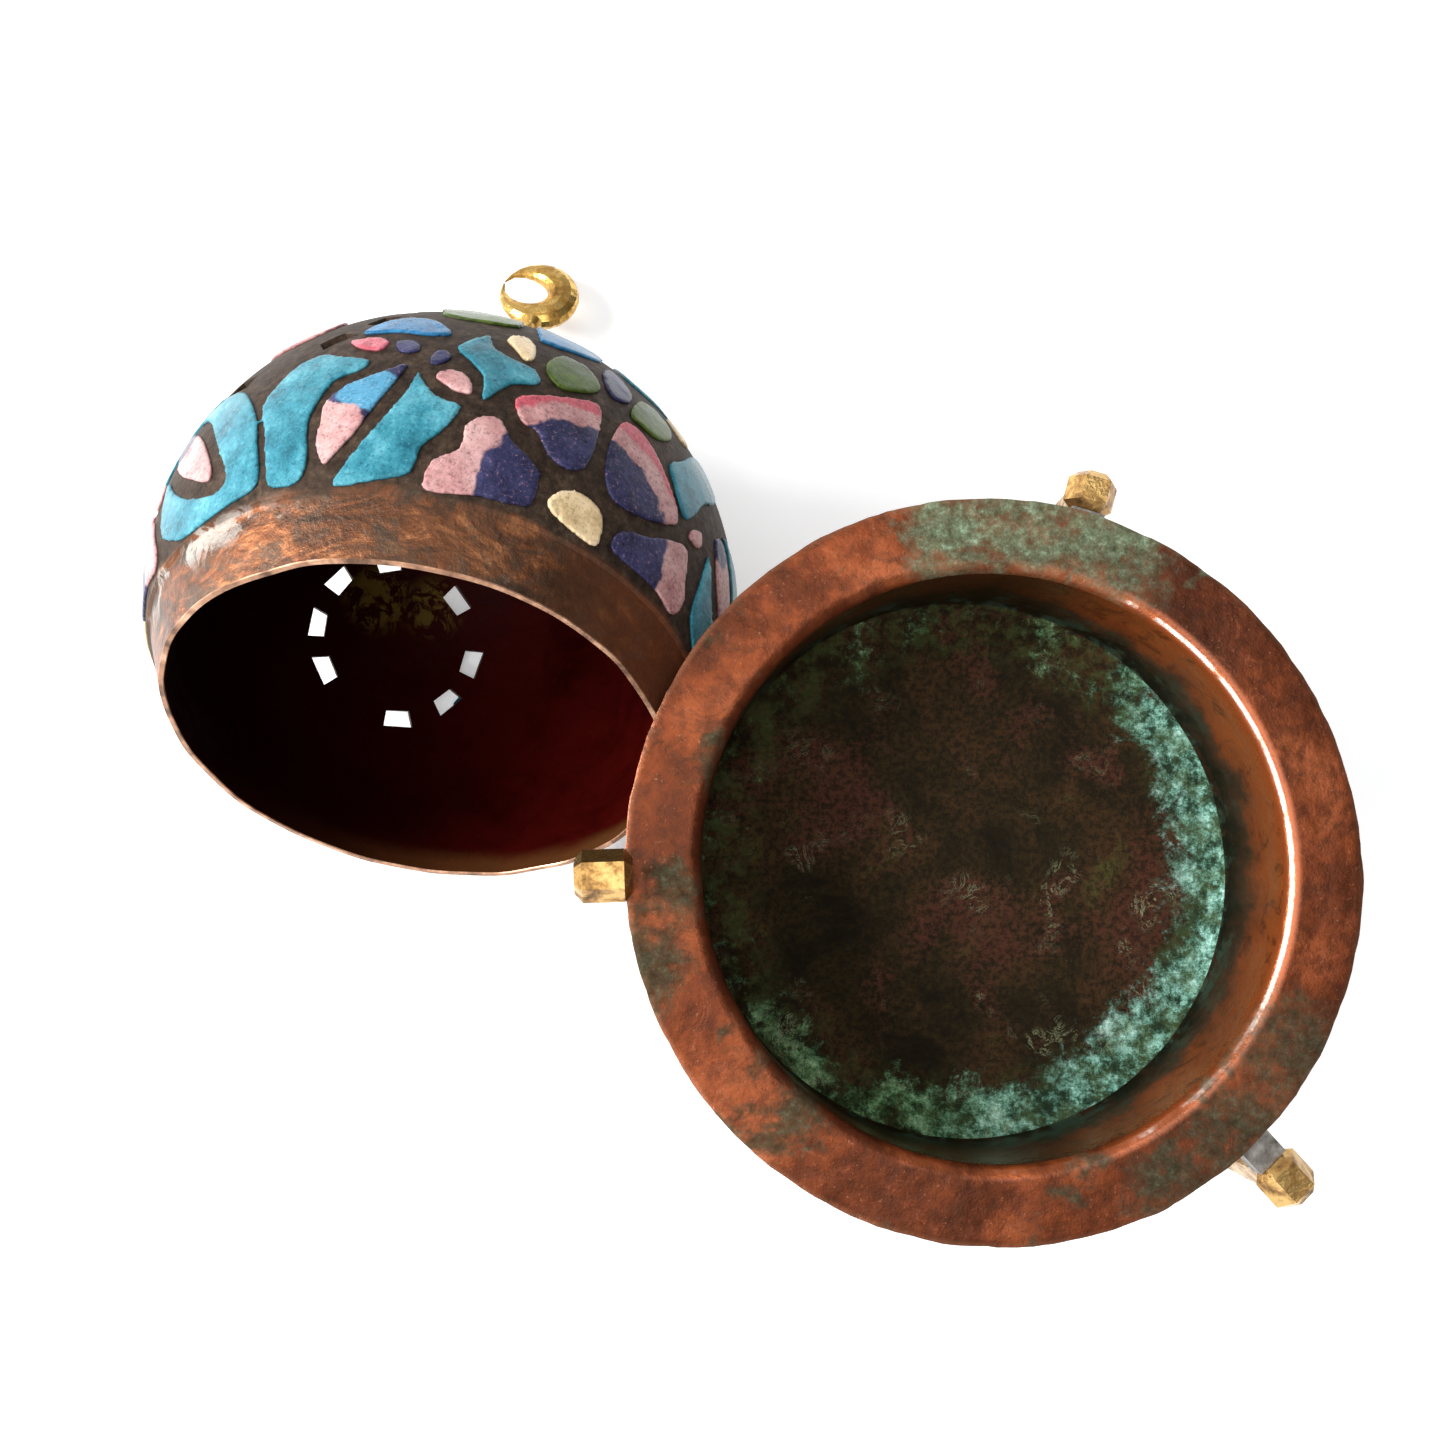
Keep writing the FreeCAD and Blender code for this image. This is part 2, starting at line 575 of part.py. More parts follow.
def make_all():
    make_pan()
    make_legs()
    laid = lid_placement()
    crown = dim("dome_centre") + dim("dome_radius")
    for item in [make_lid(), *make_enamel()]:
        item.Placement = laid.multiply(item.Placement)
    leaning = laid.multiply(lean(crown))
    for item in (make_stem(crown), make_washer(crown)):
        item.Placement = leaning
    crescent = make_crescent()
    tilt = Rotation(Vector(0, 1, 0), dim("crescent_lean"))
    seat = Placement(Vector(0, 0, crown + dim("finial_rise")),
                     tilt.multiply(Rotation(Vector(1, 0, 0), -dim("crescent_turn"))))
    crescent.Placement = leaning.multiply(seat)
    doc.recompute()


def check_and_write():
    for item in doc.Objects:
        if "Invalid" in item.State or "Error" in item.State:
            raise RuntimeError(f"{item.Label} failed: {item.State}")
    os.makedirs("parts", exist_ok=True)
    for item in SUB_PARTS:
        shape = item.Shape
        if shape.isNull() or not shape.isValid() or not shape.Solids:
            raise RuntimeError(f"{item.Label} has no sound shape")
        shape.exportStep(f"parts/{item.Label}.step")
        print(f"{item.Label}: {len(shape.Solids)} solids, {shape.Volume:.1f} mm3")


make_all()
check_and_write()
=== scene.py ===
"""Looks of the enamelled copper incense burner: hammered pan, enamelled lid, brass legs and finial."""
import math

import bpy
from mathutils import Euler, Matrix, Vector, noise


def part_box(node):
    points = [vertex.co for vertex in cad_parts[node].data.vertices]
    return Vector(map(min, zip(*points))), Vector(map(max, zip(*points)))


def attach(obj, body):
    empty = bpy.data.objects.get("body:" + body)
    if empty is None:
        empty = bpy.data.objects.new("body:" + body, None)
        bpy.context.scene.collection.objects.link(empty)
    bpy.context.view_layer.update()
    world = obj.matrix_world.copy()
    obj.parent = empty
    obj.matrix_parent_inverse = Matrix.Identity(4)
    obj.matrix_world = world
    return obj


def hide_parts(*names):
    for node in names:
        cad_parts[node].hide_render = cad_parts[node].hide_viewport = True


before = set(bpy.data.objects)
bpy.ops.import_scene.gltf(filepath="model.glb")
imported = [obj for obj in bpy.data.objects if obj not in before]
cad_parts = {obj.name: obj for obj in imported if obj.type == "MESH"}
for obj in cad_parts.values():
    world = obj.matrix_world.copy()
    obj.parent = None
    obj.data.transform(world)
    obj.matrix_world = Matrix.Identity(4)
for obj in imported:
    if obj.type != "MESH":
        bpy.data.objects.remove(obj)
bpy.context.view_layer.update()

MM = 0.001

# ---------------------------------------------------------------- places, from the frame
pan_low, pan_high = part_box("pan")
FLANGE_RADIUS = (pan_high[0] - pan_low[0]) / 2
FLANGE_TOP = pan_high[2]
SHEET = 1.0 * MM
WELL_RADIUS = 47.4 * MM
FLOOR_CORNER = 3.0 * MM
LIP = 2.4 * MM                           # rounding between wall and flange
TABLE = min(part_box(f"leg_{name}")[0][2] for name in ("back", "left", "front"))

DOME_RADIUS = 51.0 * MM
DOME_CENTRE = 30.2 * MM                  # above the mouth
MOUTH_RADIUS = 42.4 * MM
COLLAR_HEIGHT = 9.6 * MM
CROWN_HOLE = 2.0 * MM
GROUND = 0.5 * MM                        # height of the dark ground between the enamel cells
ENAMEL = 1.0 * MM
LID_DIP = math.radians(31.5)
LID_HEADING = math.radians(83.0)
LID_ACROSS = -95.0 * MM
LID_BACK = 21.0 * MM

CROWN_WAY = Vector((math.cos(LID_DIP) * math.cos(LID_HEADING),
                    math.cos(LID_DIP) * math.sin(LID_HEADING), -math.sin(LID_DIP)))
TOP_WAY = (Vector((0, 0, 1)) - CROWN_WAY * CROWN_WAY.z).normalized()
SIDE_WAY = CROWN_WAY.cross(TOP_WAY)
LID_TURN = Matrix((TOP_WAY, SIDE_WAY, CROWN_WAY)).transposed()
LID_LEVEL = TABLE + DOME_RADIUS + ENAMEL + DOME_CENTRE * math.sin(LID_DIP)
MOUTH_CENTRE = Vector((LID_ACROSS, LID_BACK, LID_LEVEL))
LID_PLACE = Matrix.Translation(MOUTH_CENTRE) @ LID_TURN.to_4x4()
LID_SPIN = LID_TURN.to_euler("XYZ")

ROSETTES = (-38.0, 82.0, 202.0)          # degrees round the lid
ROSETTE_LATITUDE = 29.0
# where each slot is round its rosette, in degrees, and its distance from the middle, in mm
SLOTS = {48: 17.0, 80: 17.5, 113: 17.5, 151: 16.5, 213: 14.6, 267: 15.2, 304: 15.7, 344: 16.6}
SLOT_LENGTH = 5.6 * MM
SLOT_WIDTH = 3.4 * MM
THIRD = math.radians(120)                # the enamel's design comes three times
THIRD_START = math.radians(62)           # and is drawn from this far before the X axis


# ---------------------------------------------------------------- materials
RANGE_INPUTS = ("From Min", "From Max", "To Min", "To Max")


class Finish:
    """A material being mixed, with short calls for the nodes that it needs."""

    def __init__(self, name, metallic=0.0, roughness=0.5, gloss=0.5):
        self.material = bpy.data.materials.new(name)
        self.material.use_nodes = True
        self.nodes = self.material.node_tree.nodes
        self.shader = self.nodes["Principled BSDF"]
        self.shader.inputs["Metallic"].default_value = metallic
        self.shader.inputs["Roughness"].default_value = roughness
        self.shader.inputs["Specular IOR Level"].default_value = gloss
        self.place = self.nodes.new("ShaderNodeTexCoord").outputs["Object"]
        self.last_bump = None

    def join(self, value, socket):
        """Link another node's socket, or set a plain value."""
        if isinstance(value, bpy.types.NodeSocket):
            self.material.node_tree.links.new(value, socket)
        elif value is not None:
            socket.default_value = value

    def local(self, centre, spin):
        """Object coordinates turned into a piece's own frame."""
        node = self.nodes.new("ShaderNodeMapping")
        node.vector_type = "TEXTURE"
        self.join(self.place, node.inputs["Vector"])
        node.inputs["Location"].default_value = centre
        node.inputs["Rotation"].default_value = spin
        self.place = node.outputs["Vector"]

    def noise(self, scale, detail=4.0, rough=0.55, stretch=None, distortion=0.0):
        node = self.nodes.new("ShaderNodeTexNoise")
        vector = self.place
        if stretch is not None:
            mapping = self.nodes.new("ShaderNodeMapping")
            mapping.inputs["Scale"].default_value = stretch
            self.join(vector, mapping.inputs["Vector"])
            vector = mapping.outputs["Vector"]
        self.join(vector, node.inputs["Vector"])
        node.inputs["Scale"].default_value = scale
        node.inputs["Detail"].default_value = detail
        node.inputs["Roughness"].default_value = rough
        node.inputs["Distortion"].default_value = distortion
        return node.outputs["Fac"]

    def cells(self, scale):
        """Distance from the nearest of scattered points."""
        node = self.nodes.new("ShaderNodeTexVoronoi")
        self.join(self.place, node.inputs["Vector"])
        node.inputs["Scale"].default_value = scale
        return node.outputs["Distance"]

    def math(self, operation, first, second=None):
        node = self.nodes.new("ShaderNodeMath")
        node.operation = operation
        for value, socket in zip((first, second), node.inputs):
            self.join(value, socket)
        return node.outputs[0]

    def plus(self, first, second):
        return self.math("ADD", first, second)

    def times(self, first, second):
        return self.math("MULTIPLY", first, second)

    def range(self, value, low, high, to_low=0.0, to_high=1.0):
        """Value spread from low..high to to_low..to_high, held at the ends, with soft ends."""
        node = self.nodes.new("ShaderNodeMapRange")
        node.interpolation_type = "SMOOTHSTEP"
        self.join(value, node.inputs["Value"])
        for name, number in zip(RANGE_INPUTS, (low, high, to_low, to_high)):
            node.inputs[name].default_value = number
        return node.outputs["Result"]

    def band(self, value, rise, fall):
        """1 between a rise and a fall, each given as the value's pair from 0 to 1."""
        return self.times(self.range(value, *rise), self.range(value, *fall))

    def ramp(self, value, *stops):
        node = self.nodes.new("ShaderNodeValToRGB")
        ramp = node.color_ramp
        while len(ramp.elements) < len(stops):
            ramp.elements.new(0.5)
        for element, (place, colour) in zip(ramp.elements, stops):
            element.position = place
            element.color = (*colour, 1.0)
        self.join(value, node.inputs["Fac"])
        return node.outputs["Color"]

    def mix(self, factor, first, second, blend="MIX"):
        node = self.nodes.new("ShaderNodeMix")
        node.data_type = "RGBA"
        node.blend_type = blend
        self.join(factor, node.inputs["Factor"])
        for value, socket in ((first, node.inputs["A"]), (second, node.inputs["B"])):
            self.join((*value, 1.0) if isinstance(value, tuple) else value, socket)
        return node.outputs["Result"]

    def distance(self, centre, place=None):
        """Distance of the place from a point."""
        node = self.nodes.new("ShaderNodeVectorMath")
        node.operation = "DISTANCE"
        self.join(self.place if place is None else place, node.inputs[0])
        node.inputs[1].default_value = centre
        return node.outputs["Value"]

    def axis(self, name):
        """One coordinate of the place."""
        node = self.nodes.new("ShaderNodeSeparateXYZ")
        self.join(self.place, node.inputs[0])
        return node.outputs[name]

    def third(self):
        """Fold the place round the Z axis into the first third of the lid, where its design is drawn."""
        across, along, height = (self.axis(name) for name in "XYZ")
        reach = self.around()
        turn = self.plus(self.math("ARCTAN2", along, across), THIRD_START)
        turn = self.math("SUBTRACT", self.math("FLOORED_MODULO", turn, THIRD), THIRD_START)
        node = self.nodes.new("ShaderNodeCombineXYZ")
        self.join(self.times(reach, self.math("COSINE", turn)), node.inputs["X"])
        self.join(self.times(reach, self.math("SINE", turn)), node.inputs["Y"])
        self.join(height, node.inputs["Z"])
        return node.outputs["Vector"]

    def around(self):
        """Distance from the Z axis."""
        across = self.axis("X")
        along = self.axis("Y")
        return self.math("SQRT", self.plus(self.times(across, across), self.times(along, along)))

    def bump(self, height, distance, strength=1.0):
        """Add relief to what is there already."""
        node = self.nodes.new("ShaderNodeBump")
        node.inputs["Strength"].default_value = strength
        node.inputs["Distance"].default_value = distance
        self.join(height, node.inputs["Height"])
        if self.last_bump is not None:
            self.join(self.last_bump, node.inputs["Normal"])
        self.last_bump = node.outputs["Normal"]

    def done(self, colour, roughness=None):
        """Join what was mixed to the shader."""
        self.join(colour, self.shader.inputs["Base Color"])
        self.join(roughness, self.shader.inputs["Roughness"])
        if self.last_bump is not None:
            self.join(self.last_bump, self.shader.inputs["Normal"])
        return self.material


VERDIGRIS_DARK = (0.035, 0.050, 0.028)
VERDIGRIS = (0.13, 0.155, 0.10)
VERDIGRIS_PALE = (0.34, 0.42, 0.31)

# verdigris on the flange: middle (x, y) and reach, in mm
PAN_BLOOMS = (((-8, 54), 13), ((6, 56), 18), ((20, 53), 17), ((46, -30), 15), ((38, -44), 15),
              ((26, -50), 11), ((-56, -16), 12), ((-52, -4), 8))
LIP_BAND = ((46.6 * MM, 47.8 * MM), (50.0 * MM, 48.5 * MM))
HIGHLIGHT_BAND = ((47.9 * MM, 48.1 * MM), (48.7 * MM, 48.4 * MM))


def verdigris(mat):
    """How far the flange is covered: scattered small patches, and ragged blooms at their places."""
    ragged = mat.noise(170, 7, 0.72)
    scattered = mat.plus(mat.times(mat.noise(46, 4, 0.6, distortion=0.8), 0.7), mat.times(ragged, 0.3))
    cover = mat.range(scattered, 0.545, 0.625)
    frayed = mat.plus(mat.times(mat.noise(75, 6, 0.7, distortion=1.2), 0.55),
                      mat.times(mat.noise(420, 6, 0.8), 0.45))
    for (across, along), reach in PAN_BLOOMS:
        away = mat.distance((across * MM, along * MM, FLANGE_TOP))
        patch = mat.range(away, reach * 1.3 * MM, reach * 0.2 * MM)
        patch = mat.range(mat.plus(mat.times(patch, 0.34), frayed), 0.66, 0.90)
        cover = mat.math("MAXIMUM", cover, patch)
    return cover


def verdigris_skin(mat):
    """Colour of the verdigris: dark to the right and front, paler at the back."""
    skin = mat.ramp(mat.noise(520, 7, 0.8), (0.36, VERDIGRIS_DARK), (0.53, VERDIGRIS),
                    (0.72, VERDIGRIS_PALE))
    dark = mat.mix(1.0, skin, (0.40, 0.43, 0.38), blend="MULTIPLY")
    light = mat.mix(1.0, skin, (1.45, 1.75, 1.65), blend="MULTIPLY")
    return mat.mix(mat.range(mat.axis("Y"), 34 * MM, 56 * MM), dark, light)


def pan_copper():
    """Hammered copper under a brown skin, with verdigris blooms, a lip rubbed bright with a painted
    sheen on its right, and a painted highlight along it.
    """
    mat = Finish("pan_copper", metallic=0.62, gloss=0.2)
    broad = mat.noise(38, 4, 0.6, distortion=0.5)
    fine = mat.noise(300, 6, 0.7)
    grain = mat.noise(1500, 3, 0.7)
    streaks = mat.noise(120, 8, 0.78, distortion=1.5)
    copper = mat.ramp(broad, (0.32, (0.072, 0.022, 0.010)), (0.46, (0.140, 0.034, 0.012)),
                      (0.56, (0.235, 0.056, 0.018)), (0.70, (0.36, 0.098, 0.036)))
    copper = mat.mix(mat.range(streaks, 0.52, 0.66, 0.0, 0.6), copper, (0.048, 0.024, 0.012))
    copper = mat.mix(mat.range(streaks, 0.44, 0.34, 0.0, 0.45), copper, (0.42, 0.115, 0.050))
    copper = mat.mix(mat.range(fine, 0.60, 0.36, 0.0, 0.55), copper, (0.055, 0.018, 0.010))
    copper = mat.mix(mat.range(grain, 0.62, 0.74, 0.0, 0.6), copper, (0.42, 0.17, 0.09))
    radius, level = mat.around(), mat.axis("Z")
    lip = mat.times(mat.band(radius, *LIP_BAND), mat.range(level, 24.0 * MM, 25.0 * MM))
    # Rubbing noise plus a strong lean towards +X, so the lip's wear shows only on the right, the side
    # facing the window light: partly real wear, partly painted light.
    rubbed = mat.plus(mat.noise(110, 4, 0.6), mat.times(mat.axis("X"), 6.0))
    worn = mat.times(lip, mat.range(rubbed, 0.34, 0.70, 0.0, 0.9))
    copper = mat.mix(mat.times(lip, 0.4), copper, (0.12, 0.030, 0.012))
    # Paler copper on the right of the lip: partly rubbed copper, partly a painted sheen from the window
    # light.
    copper = mat.mix(worn, copper, (0.50, 0.120, 0.030))
    # Painted highlight: a near-white line along the lip's rounding on the right, where the window
    # light's reflection falls.
    painted_highlight = mat.times(mat.band(radius, *HIGHLIGHT_BAND), mat.range(level, 25.6 * MM, 26.2 * MM))
    copper = mat.mix(mat.times(painted_highlight, mat.range(rubbed, 0.62, 0.76)), copper, (0.95, 0.72, 0.62))
    mat.join(mat.times(worn, 0.9), mat.shader.inputs["Coat Weight"])
    mat.shader.inputs["Coat Roughness"].default_value = 0.10
    rim = mat.range(radius, 58.6 * MM, 59.8 * MM)
    copper = mat.mix(mat.times(rim, 0.45), copper, (0.34, 0.14, 0.075))
    bloom = verdigris(mat)
    colour = mat.mix(mat.times(bloom, 0.74), copper, verdigris_skin(mat))
    mat.bump(mat.noise(120, 2, 0.4), 1.6 * MM, 0.45)
    mat.bump(fine, 0.5 * MM, 0.5)
    mat.bump(grain, 0.12 * MM, 0.5)
    rough = mat.plus(bloom, mat.math("SUBTRACT", mat.times(fine, 0.5), mat.times(worn, 0.45)))
    return mat.done(colour, mat.range(rough, -0.15, 1.1, 0.16, 0.80))


def well_wall():
    """Inside of the upright wall: dark below, heat-reddened copper towards the lip, under painted shade
    everywhere but on the right.
    """
    mat = Finish("well_wall", metallic=0.7, gloss=0.15)
    patch = mat.noise(85, 6, 0.65, stretch=(1, 1, 0.5))
    height = mat.axis("Z")
    level = mat.plus(height, mat.times(mat.plus(patch, -0.5), 26 * MM))
    copper = mat.ramp(mat.range(level, 1 * MM, 25 * MM), (0.0, (0.010, 0.010, 0.005)),
                      (0.30, (0.085, 0.040, 0.018)), (0.60, (0.34, 0.080, 0.020)),
                      (1.0, (0.52, 0.130, 0.030)))
    # Painted shade: the wall darkened everywhere but on the right, the side that faces the window light.
    front = mat.range(mat.axis("X"), 30 * MM, 5 * MM)
    copper = mat.mix(mat.times(front, 0.75), copper, (0.020, 0.016, 0.006))
    green = mat.times(mat.range(mat.noise(120, 6, 0.7), 0.48, 0.60), mat.range(height, 16 * MM, 4 * MM))
    colour = mat.mix(mat.times(green, 0.8), copper, (0.05, 0.085, 0.055))
    burnt = mat.range(mat.noise(150, 8, 0.78, distortion=1.4), 0.50, 0.62)
    colour = mat.mix(mat.times(burnt, 0.6), colour, (0.060, 0.022, 0.010))
    mat.bump(mat.noise(300, 5, 0.65), 0.6 * MM, 0.6)
    mat.bump(mat.noise(95, 2, 0.5), 1.4 * MM, 0.5)
    return mat.done(colour, mat.range(height, 4 * MM, 25 * MM, 0.62, 0.26))


def well_floor():
    """Floor of the well: dark crust, red-brown bare spots, pale verdigris to the right and front."""
    mat = Finish("well_floor", roughness=0.85, gloss=0.12)
    broad = mat.noise(60, 6, 0.68, distortion=0.6)
    fine = mat.noise(900, 6, 0.8)
    crust = mat.ramp(broad, (0.36, (0.0095, 0.0062, 0.0024)), (0.48, (0.026, 0.016, 0.005)),
                     (0.57, (0.044, 0.021, 0.008)), (0.68, (0.052, 0.046, 0.012)))
    bare = mat.range(mat.plus(mat.times(mat.noise(42, 4, 0.55), 0.75),
                              mat.times(fine, 0.25)), 0.52, 0.58)
    crust = mat.mix(mat.times(bare, 0.7), crust, (0.068, 0.022, 0.013))
    crust = mat.mix(mat.range(fine, 0.56, 0.42, 0.0, 0.75), crust, (0.006, 0.005, 0.002))
    edge = mat.range(mat.around(), 29 * MM, 46.5 * MM)
    lean = mat.plus(mat.times(mat.axis("X"), 15.0), mat.times(mat.axis("Y"), -5.0))
    side = mat.range(lean, -0.25, 0.75)
    grow = mat.plus(mat.times(side, 0.20), mat.range(mat.axis("Y"), -22 * MM, -42 * MM, 0.12, 0.22))
    grow = mat.times(edge, grow)
    veins = mat.plus(mat.times(mat.noise(95, 8, 0.75, distortion=0.5), 0.62),
                     mat.times(mat.noise(480, 6, 0.8), 0.38))
    amount = mat.plus(grow, mat.plus(veins, -0.5))
    bloom = mat.range(amount, 0.13, 0.26)
    patches = mat.plus(mat.noise(90, 4, 0.65), -0.5)
    flecks = mat.plus(mat.noise(330, 8, 0.88), mat.times(patches, 0.55))
    pale = mat.ramp(flecks, (0.44, (0.012, 0.026, 0.014)), (0.50, (0.060, 0.14, 0.095)),
                    (0.57, (0.19, 0.41, 0.33)), (0.68, (0.62, 0.88, 0.80)))
    tint = mat.mix(mat.range(side, 0.1, 0.8), (0.85, 0.84, 0.50), (1.0, 1.0, 1.0))
    colour = mat.mix(bloom, crust, mat.mix(1.0, pale, tint, blend="MULTIPLY"))
    moss = mat.times(mat.range(mat.around(), 34 * MM, 44 * MM),
                     mat.range(mat.noise(240, 6, 0.7), 0.44, 0.60))
    colour = mat.mix(mat.times(moss, 0.35), colour, (0.085, 0.115, 0.035))
    contour = mat.plus(mat.noise(150, 6, 0.75, distortion=1.6), -0.5)
    thread = mat.range(mat.math("ABSOLUTE", contour), 0.014, 0.002)
    thread = mat.times(thread, mat.range(mat.noise(85, 3, 0.5), 0.56, 0.66))
    front = mat.range(mat.axis("Y"), 20 * MM, -25 * MM, 0.25, 0.8)
    colour = mat.mix(mat.times(thread, front), colour, (0.30, 0.36, 0.20))
    mat.bump(fine, 0.5 * MM, 0.8)
    mat.bump(bloom, 0.3 * MM, 0.5)
    mat.bump(broad, 1.0 * MM, 0.3)
    return mat.done(colour)


def lid_outside():
    """Bare collar of rubbed copper with a painted glare at its upper left and painted shade from its
    middle rightwards, then the black-brown ground between the enamel cells.
    """
    mat = Finish("lid_outside", metallic=0.5, gloss=0.25)
    mat.local(MOUTH_CENTRE, LID_SPIN)
    height = mat.axis("Z")
    streak = mat.noise(80, 8, 0.74, stretch=(1, 1, 2.6), distortion=1.1)
    copper = mat.ramp(streak, (0.36, (0.036, 0.018, 0.010)), (0.47, (0.115, 0.045, 0.020)),
                      (0.56, (0.24, 0.078, 0.026)), (0.66, (0.58, 0.23, 0.090)))
    soot = mat.range(mat.noise(85, 7, 0.74, distortion=0.6), 0.47, 0.60)
    copper = mat.mix(mat.times(soot, 0.72), copper, (0.075, 0.060, 0.042))
    ash = mat.range(mat.noise(210, 7, 0.75), 0.60, 0.70)
    copper = mat.mix(mat.times(ash, 0.5), copper, (0.30, 0.24, 0.19))
    aside = mat.axis("Y")
    # Painted glare: a pale, near-white patch on the upper left of the collar, where the window light is
    # reflected.
    upper_left = mat.times(mat.range(aside, -16 * MM, -34 * MM),
                           mat.range(mat.axis("X"), 2 * MM, 20 * MM))
    painted_glare = mat.times(mat.range(mat.noise(150, 7, 0.75, distortion=0.9), 0.50, 0.58), upper_left)
    copper = mat.mix(mat.times(painted_glare, mat.range(height, 4 * MM, 8.5 * MM, 0.05, 0.7)), copper,
                     (0.55, 0.52, 0.47))
    # Painted shade: the collar darkened from its middle to the right, so that its left, facing the
    # window light, stays brighter.
    copper = mat.mix(mat.range(aside, -34 * MM, -8 * MM, 0.0, 0.45), copper, (0.045, 0.026, 0.016))
    copper = mat.mix(mat.range(aside, 14 * MM, 40 * MM, 0.0, 0.6), copper, (0.21, 0.062, 0.022))
    ground = mat.ramp(mat.noise(520, 6, 0.75), (0.35, (0.020, 0.012, 0.008)),
                      (0.55, (0.058, 0.036, 0.023)), (0.78, (0.15, 0.10, 0.065)))
    edge = mat.plus(height, mat.times(mat.plus(mat.noise(110, 3, 0.5), -0.5), 3 * MM))
    colour = mat.mix(mat.range(edge, 9.2 * MM, 10.8 * MM), copper, ground)
    mat.bump(mat.noise(90, 3, 0.5), 1.5 * MM, 0.4)
    mat.bump(mat.noise(600, 5, 0.7), 0.4 * MM, 0.7)
    return mat.done(colour, mat.range(height, 8 * MM, 11 * MM, 0.34, 0.66))


def lid_inside():
    """Smoke-blackened inside, redder to one side, brown by the mouth, with an olive tar stain."""
    mat = Finish("lid_inside", roughness=0.45, gloss=0.04)
    mat.local(MOUTH_CENTRE, LID_SPIN)
    height = mat.axis("Z")
    side = mat.range(mat.axis("Y"), -42 * MM, 46 * MM)
    patch = mat.noise(75, 7, 0.72, distortion=0.5)
    red = mat.mix(mat.times(side, mat.range(patch, 0.32, 0.60, 0.25, 1.0)), (0.018, 0.0006, 0.0005),
                  (0.062, 0.0024, 0.0014))
    near = mat.times(mat.range(height, 42 * MM, 16 * MM, 0.0, 0.8),
                    mat.math("SUBTRACT", 1.0, mat.times(side, 0.75)))
    red = mat.mix(near, red, (0.010, 0.0005, 0.0004))
    tar = mat.range(mat.plus(height, mat.times(patch, 6 * MM)), 11 * MM, 5 * MM)
    belly = mat.range(mat.axis("X"), 10 * MM, -25 * MM)
    tar = mat.times(tar, mat.times(belly, side))
    colour = mat.mix(mat.times(tar, 0.9), red, (0.11, 0.042, 0.013))
    stain = mat.math("MAXIMUM", mat.range(mat.distance((-34 * MM, -22 * MM, 60 * MM)), 9 * MM, 4 * MM),
                     mat.range(mat.distance((-37 * MM, -11 * MM, 62 * MM)), 8 * MM, 3 * MM))
    stain = mat.times(stain, mat.range(mat.noise(190, 7, 0.76, distortion=1.5), 0.46, 0.55))
    colour = mat.mix(mat.times(stain, 0.85), colour, (0.13, 0.082, 0.014))
    mat.bump(mat.noise(140, 5, 0.66), 0.8 * MM, 0.45)
    return mat.done(colour, mat.range(patch, 0.3, 0.7, 0.34, 0.55))


def rim_metal():
    """Cut edge of the sheet, rubbed bright."""
    mat = Finish("rim_metal", metallic=0.7, roughness=0.35)
    colour = mat.ramp(mat.noise(260, 4, 0.6), (0.35, (0.12, 0.06, 0.035)), (0.55, (0.42, 0.22, 0.13)),
                      (0.75, (0.75, 0.48, 0.32)))
    return mat.done(colour)


def shade(colour, factor):
    """The colour made darker or lighter."""
    return tuple(min(1.0, value * factor) for value in colour)


def enamel(name, deep, middle, pale, colour=None):
    """Opaque enamel: mottled, dark round its edges, with pinholes and a wavy glossy surface."""
    mat = Finish(name, gloss=0.10)
    mat.local(MOUTH_CENTRE, LID_SPIN)
    cloud = mat.noise(130, 7, 0.72)
    if colour is None:
        base = mat.ramp(cloud, (0.32, deep), (0.50, middle), (0.68, pale))
    else:
        base = colour(mat, cloud)
    height = mat.distance((0, 0, DOME_CENTRE))
    low = mat.range(height, DOME_RADIUS + 0.84 * MM, DOME_RADIUS + 0.56 * MM)
    base = mat.mix(mat.times(low, 0.72), base, shade(deep, 0.3))
    grit = mat.noise(1500, 5, 0.85)
    base = mat.mix(mat.range(grit, 0.50, 0.36, 0.0, 0.56), base, shade(deep, 0.45))
    base = mat.mix(mat.range(grit, 0.56, 0.70, 0.0, 0.5), base, shade(pale, 1.5))
    pin = mat.range(mat.cells(330), 0.15, 0.05)
    pin = mat.times(pin, mat.range(mat.noise(240, 2, 0.5), 0.50, 0.60))
    base = mat.mix(mat.times(pin, 0.7), base, shade(deep, 0.12))
    mat.bump(mat.noise(180, 3, 0.5), 0.9 * MM, 0.7)
    mat.bump(grit, 0.14 * MM, 0.7)
    mat.bump(mat.times(pin, -1.0), 0.3 * MM, 0.6)
    mat.shader.inputs["Coat Weight"].default_value = 0.35
    mat.shader.inputs["Coat Roughness"].default_value = 0.07
    mat.shader.inputs["Coat IOR"].default_value = 1.22
    return mat.done(base, mat.range(cloud, 0.3, 0.7, 0.22, 0.42))


PINK = (0.52, 0.265, 0.255)
PINK_PALE = (0.66, 0.40, 0.38)
PINK_DEEP = (0.33, 0.125, 0.13)
ROSE = (0.56, 0.105, 0.135)
COBALT = (0.036, 0.036, 0.095)
COBALT_DEEP = (0.012, 0.012, 0.036)
COBALT_PALE = (0.080, 0.078, 0.19)
SKY = (0.085, 0.30, 0.46)


def on_dome(azimuth, latitude):
    """A point of the upright lid's dome, its angles taken at the dome's centre."""
    spin, rise = math.radians(azimuth), math.radians(latitude)
    flat = DOME_RADIUS * math.cos(rise)
    height = DOME_CENTRE + DOME_RADIUS * math.sin(rise)
    return Vector((flat * math.cos(spin), flat * math.sin(spin), height))


